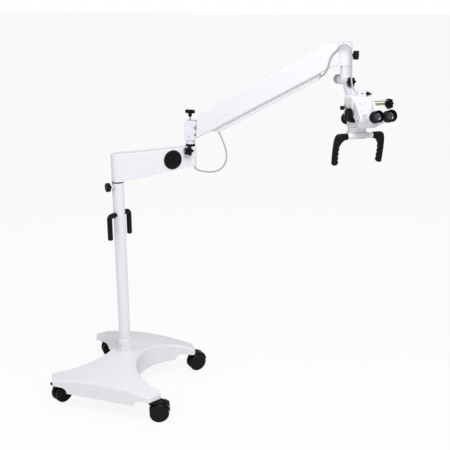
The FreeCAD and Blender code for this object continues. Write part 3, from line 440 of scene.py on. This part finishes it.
for label, look in cables.items():
    middle = splineOf(label + "Line", look["route"], 0)
    obj = fromMesh(label + "Cable", splineOf(label + "Tube", look["route"], cableDiameter / 2), 60)
    obj.data.materials.clear()
    obj.data.materials.append(finish["cableSheath"])
    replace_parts(obj, look["node"])
    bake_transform(obj)

# cable glands, from the ends of the cables
glandShape = [(0, -1), (5.6, -1), (6.1, 0), (6.1, 3), (5.4, 4), (4.9, 8), (4.5, 13), (4.1, 15), (0, 15)]
loopRoute, drapeRoute = cables["loop"]["route"], cables["drape"]["route"]
for label, body, at, to in (("armGland", "yoke", loopRoute[0], loopRoute[1]),
                            ("channelGland", "spring_arm", loopRoute[-1], loopRoute[-2]),
                            ("channelEndGland", "spring_arm", drapeRoute[0], drapeRoute[1])):
    place = toward(Matrix(), at, Vector(to) - Vector(at))
    dressed(lathe(label, glandShape, place, 32), "cableSheath", body, "cable")
print("glands")

# closing cheeks at the spring arm's far end, in millimetres from its upper axis
cheeks = dict(inner=33.2, outer=37.7, edge=0.8,
              outline=[(-50, 55.2), (-12, 55.2), (10, 49), (21, 34), (22, 12), (10, -22), (-8, -52),
                       (-50, -52)],
              roof=[(-50, 55.2), (-9, 55.2), (-9, 52.9), (-50, 52.9)])
for label, shape, low, high in (("armCheekFront", "outline", -cheeks["outer"], -cheeks["inner"]),
                                ("armCheekRear", "outline", cheeks["inner"], cheeks["outer"]),
                                ("armEndRoof", "roof", -cheeks["inner"], cheeks["inner"])):
    plate = slab(label, cheeks[shape], low, high, cheeks["edge"], springEnd)
    dressed(plate, "whiteShell", "spring_arm", "white_moulded")
print("spring arm end closed")

# steering grips, in millimetres from the end of the grip bar
grip = dict(halfWide=14, barStart=66, barAhead=-166, barHigh=1441, twist=7, squareness=0.72,
            scallop=4.2, fingers=4, fingersFrom=-50, fingersRun=84, fingersTurn=1.2,
            rootShare=0.03, rootNarrow=0.86, tipShare=0.06, tipNarrow=0.25, stations=110, steps=36,
            outer=[(0, 15), (14, 15.4), (30, 15.6), (46, 15), (58, 9.5), (64.5, -4), (67, -20), (68.5, -40),
                   (69, -60), (69, -84), (68.6, -108), (68, -128), (66, -137)],
            inner=[(0, -15), (11, -15.4), (21, -20), (28, -28), (33, -35), (37, -43), (39.5, -50),
                   (40.5, -58), (41, -68), (41, -88), (40, -110), (39, -128), (43, -137)])


def along(points, t):
    # smooth walk through the points, t from 0 to 1
    k = min(int(t * (len(points) - 1)), len(points) - 2)
    f = t * (len(points) - 1) - k
    before, a, b, after = (Vector(points[max(0, min(len(points) - 1, k + d))]) for d in (-1, 0, 1, 2))
    return 0.5 * ((2 * a) + (b - before) * f + (2 * before - 5 * a + 4 * b - after) * f * f
                  + (3 * a - before - 3 * b + after) * f ** 3)


def gripEnds(t):
    # how much the grip narrows at its root and at its rounded tip
    if t > 1 - grip["tipShare"]:
        cap = math.sqrt(max(0.0, 1 - ((t - 1 + grip["tipShare"]) / grip["tipShare"]) ** 2))
        return grip["tipNarrow"] + (1 - grip["tipNarrow"]) * cap
    if t < grip["rootShare"]:
        return grip["rootNarrow"] + (1 - grip["rootNarrow"]) * math.sqrt(t / grip["rootShare"])
    return 1.0


def bent(value):
    # squares a circle's sine or cosine a little
    return math.copysign(abs(value) ** grip["squareness"], value)


def gripRing(t):
    out, inn = along(grip["outer"], t), along(grip["inner"], t)
    if inn.y < grip["fingersFrom"]:
        way = (inn.y - grip["fingersFrom"]) / grip["fingersRun"]
        wave = math.sin(2 * math.pi * way * grip["fingers"] + grip["fingersTurn"])
        inn = inn + Vector((grip["scallop"] * 0.5 * (wave - 0.2), 0))
    middle, reach = (out + inn) / 2, (out - inn) / 2
    ring = []
    for j in range(grip["steps"]):
        turn = 2 * math.pi * j / grip["steps"]
        point = middle + reach * bent(math.cos(turn)) * gripEnds(t)
        deep = bent(math.sin(turn)) * grip["halfWide"] * gripEnds(t)
        ring.append((point.x / 1000, deep / 1000, point.y / 1000))
    return ring


for label, side in (("gripLeft", -1), ("gripRight", 1)):
    root = Vector((side * grip["barStart"], grip["barAhead"], grip["barHigh"])) / 1000
    place = headPlace @ Matrix.Translation(root) @ Matrix.Rotation(0 if side > 0 else math.pi, 4, "Z")
    place = place @ Matrix.Rotation(math.radians(grip["twist"] * side), 4, "X")
    rings = [gripRing(k / grip["stations"]) for k in range(grip["stations"] + 1)]
    obj = dressed(tube(label, rings, place, 50), "blackRubber", "head", "black_rubber")
    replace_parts(obj, "handle_grips")
print("grips")

# eyepieces, their profiles in millimetres from the tube's root
eyepiece = dict(
    half=0.033, face=-0.0845, ribHigh=0.0438,
    ribs={"Count": 40, "Ring radius": 0.0268, "Rib length": 0.0116, "Rib radius": 0.0007},
    ring=[(11.2, 28), (12.8, 28), (12.8, 34.6), (25.2, 35), (26.4, 35.8), (26.8, 37), (26.8, 50),
          (26.2, 51.4), (25.4, 52), (16, 52), (16, 57), (11.2, 57), (11.2, 28)],
    cup=[(16, 52.2), (24.6, 52.2), (25.3, 53.2), (25, 55), (24.6, 58), (24.9, 61.5), (25.8, 66), (26.9, 70.5),
         (27.7, 73.6), (27.7, 74.6), (27.1, 75), (26.3, 74.6), (25.6, 72.5), (24.3, 67.5), (22.9, 63),
         (20.5, 60), (17.4, 58.6), (16, 58), (16, 52.2)],
    rim=[(13.6, 57), (15.9, 57), (15.9, 59.2), (15.3, 60), (14.3, 59.4), (13.6, 58.4), (13.6, 57)],
    lens=[(0, 56.2), (14, 57.3), (14, 58), (10, 59.1), (5, 59.8), (0, 60)])
for side, name in ((-1, "left"), (1, "right")):
    body = "eyecup_" + name
    place = toward(drumPlace, (side * eyepiece["half"], eyepiece["face"], 0), (0, -1, 0))
    ring = lathe("diopterRing_" + name, eyepiece["ring"], place, 64)
    dressed(ring, "blackMoulding", body, "black_plastic")
    grown("diopterRibs_" + name, ribTree, place @ Matrix.Translation((0, 0, eyepiece["ribHigh"])), body,
          eyepiece["ribs"])
    cup = lathe("rubberCup_" + name, eyepiece["cup"], place, 64, 60)
    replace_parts(dressed(cup, "blackRubber", body, "black_rubber"), body)
    dressed(lathe("lensRing_" + name, eyepiece["rim"], place), "brightSteel", body, "steel")
    lens = lathe("eyeLens_" + name, eyepiece["lens"], place, smoothAngle=70)
    dressed(lens, "coatedLens", body, "optic")
print("eyepieces")

# small parts of the head
nose = dict(ahead=-0.136, low=1.458, high=1.508, lowRadius=0.0415, highRadius=0.051)
noseMarks = dict(steps=24, tall=0.0017, pointed=0.55, sunk=-0.0004, proud=0.00025)


def onNose(degrees, z, proud=0.0):
    # point on the cone of the objective housing
    rise = (z - nose["low"]) / (nose["high"] - nose["low"])
    radius = nose["lowRadius"] + (nose["highRadius"] - nose["lowRadius"]) * rise + proud
    turn = math.radians(degrees)
    return Vector((radius * math.cos(turn), nose["ahead"] + radius * math.sin(turn), z))


def noseMark(name, start, end, finishName, slotName):
    # thin line on the cone from start to end, each given as degrees and height
    rings = []
    for k in range(noseMarks["steps"] + 1):
        t = k / noseMarks["steps"]
        degrees, z = start[0] + (end[0] - start[0]) * t, start[1] + (end[1] - start[1]) * t
        half = noseMarks["tall"] * (1 - noseMarks["pointed"] * abs(2 * t - 1) ** 3) / 2
        rings.append([onNose(degrees, z + up, noseMarks[depth]) for up, depth in (
            (-half, "sunk"), (-half, "proud"), (half, "proud"), (half, "sunk"))])
    dressed(tube(name, rings, headPlace), finishName, "head", slotName)


noseMark("indexLineRed", (200, 1.483), (236, 1.4836), "redInk", "white_cast")
noseMark("indexLineDark", (166, 1.4925), (193, 1.4845), "blackMoulding", "black_plastic")

headScrews = {"Count": 3, "Spacing": 0.031, "Head radius": 0.0017}
frontRow = headPlace @ Matrix.Translation((-0.030, -0.178, 1.6105)) @ Matrix.Rotation(math.pi / 2, 4, "X")
grown("headFrontScrews", screwTree, frontRow, "head", headScrews)
stopScrew = {"Count": 1, "Spacing": 0.01, "Head radius": 0.0021}
stopPlace = toward(headPlace, onNose(187, 1.4745), (-1, -0.12, -0.15))
grown("noseStopScrew", screwTree, stopPlace, "head", stopScrew)

# controls on the front of the lamp module, their profiles in millimetres
lampFront = -0.175
controls = {
    "lampButton": dict(x=-0.005, z=1.6415, steps=32, look=("blackMoulding", "head", "black_plastic"),
                       shape=[(0, -0.5), (3.2, -0.5), (3.2, 2.2), (2.6, 3), (0, 3)]),
    "lampLever": dict(x=0.0385, z=1.6375, steps=32, look=("blackMoulding", "head", "black_plastic"),
                      shape=[(0, -0.5), (4.2, -0.5), (4.5, 0.4), (4.3, 5), (3.6, 6), (0, 6)]),
    "lampLeverTip": dict(x=0.0385, z=1.6375, steps=20, look=("brightSteel", "head", "steel"),
                         shape=[(0, 5.5), (1.6, 5.5), (1.6, 8.5), (0, 9)]),
}
for name, knob in controls.items():
    place = toward(headPlace, (knob["x"], lampFront, knob["z"]), (0, -1, 0))
    dressed(lathe(name, knob["shape"], place, knob["steps"]), *knob["look"])

# sleeve round the tilt shaft, and the grip ribs of the zoom knobs
sleeveShape = [(4.2, 76.3), (6.6, 76.3), (7, 76.8), (7, 110), (6.4, 110.6), (6.4, 166), (6, 167), (4.2, 167),
               (4.2, 76.3)]
toHead = headPlace.inverted()
sleeve = lathe("tiltSleeve", sleeveShape, toward(headPlace, toHead @ spot("head_tilt"), (1, 0, 0)), 40)
dressed(sleeve, "goldSteel", "head", "steel")
zoom = dict(out=0.0645, ribs={"Count": 44, "Ring radius": 0.0252, "Rib length": 0.0125, "Rib radius": 0.0006})
for name, side in (("zoomRibsLeft", -1), ("zoomRibsRight", 1)):
    at = toHead @ spot("zoom_turn") + Vector((side * zoom["out"], 0, 0))
    grown(name, ribTree, toward(headPlace, at, (side, 0, 0)), "zoom_knobs", zoom["ribs"])
print("small parts of the head")

# light and floor
room = dict(floorHalf=90, floorHigh=-0.0005, floorTone=0.9, floorGlow=0.9, worldLight=0.5)
lamps = dict(
    keyLamp=dict(at=(2.0, -1.9, 4.2), aim=(0.4, 0.1, 0.8), size=2.2, power=110),
    fillLamp=dict(at=(-2.6, -2.2, 2.4), aim=(0.3, 0.1, 0.9), size=2.4, power=16))

# the camera and clear pieces see a white world, and the object is lit by a dimmer one
world = bpy.data.worlds.new("room")
world.use_nodes = True
scene.world = world
nodes, link = world.node_tree.nodes, world.node_tree.links.new
ray = nodes.new("ShaderNodeLightPath")
seen = nodes.new("ShaderNodeMath")
seen.operation = "MAXIMUM"
link(ray.outputs["Is Camera Ray"], seen.inputs[0])
link(ray.outputs["Is Transmission Ray"], seen.inputs[1])
level = nodes.new("ShaderNodeMapRange")
level.inputs["To Min"].default_value = room["worldLight"]
level.inputs["To Max"].default_value = 1.0
link(seen.outputs[0], level.inputs["Value"])
nodes["Background"].inputs["Color"].default_value = (1, 1, 1, 1)
link(level.outputs["Result"], nodes["Background"].inputs["Strength"])

# the floor shows the camera a share of plain white, so that it stays pale and keeps the shadow
floorMesh = bpy.data.meshes.new("floor")
half, high = room["floorHalf"], room["floorHigh"]
floorMesh.from_pydata([(-half, -half, high), (half, -half, high), (half, half, high), (-half, half, high)],
                      [], [(0, 1, 2, 3)])
floor = bpy.data.objects.new("floor", floorMesh)
scene.collection.objects.link(floor)
floorMat = bpy.data.materials.new("floorWhite")
floorMat.use_nodes = True
nodes, link = floorMat.node_tree.nodes, floorMat.node_tree.links.new
plain = nodes["Principled BSDF"]
plain.inputs["Base Color"].default_value = (room["floorTone"],) * 3 + (1,)
plain.inputs["Roughness"].default_value = 0.9
plain.inputs["Specular IOR Level"].default_value = 0.1
glow = nodes.new("ShaderNodeEmission")
ray = nodes.new("ShaderNodeLightPath")
share = nodes.new("ShaderNodeMath")
share.operation = "MULTIPLY"
share.inputs[1].default_value = room["floorGlow"]
link(ray.outputs["Is Camera Ray"], share.inputs[0])
mixed = nodes.new("ShaderNodeMixShader")
link(share.outputs[0], mixed.inputs["Fac"])
link(plain.outputs["BSDF"], mixed.inputs[1])
link(glow.outputs["Emission"], mixed.inputs[2])
link(mixed.outputs["Shader"], nodes["Material Output"].inputs["Surface"])
floor.data.materials.append(floorMat)

for name, look in lamps.items():
    lamp = bpy.data.lights.new(name, "AREA")
    lamp.shape = "DISK"
    lamp.size = look["size"]
    lamp.energy = look["power"]
    obj = bpy.data.objects.new(name, lamp)
    obj.location = look["at"]
    obj.rotation_euler = (Vector(look["aim"]) - Vector(look["at"])).to_track_quat("-Z", "Y").to_euler()
    scene.collection.objects.link(obj)
scene.view_settings.view_transform = "Standard"
print("light, floor and camera set")
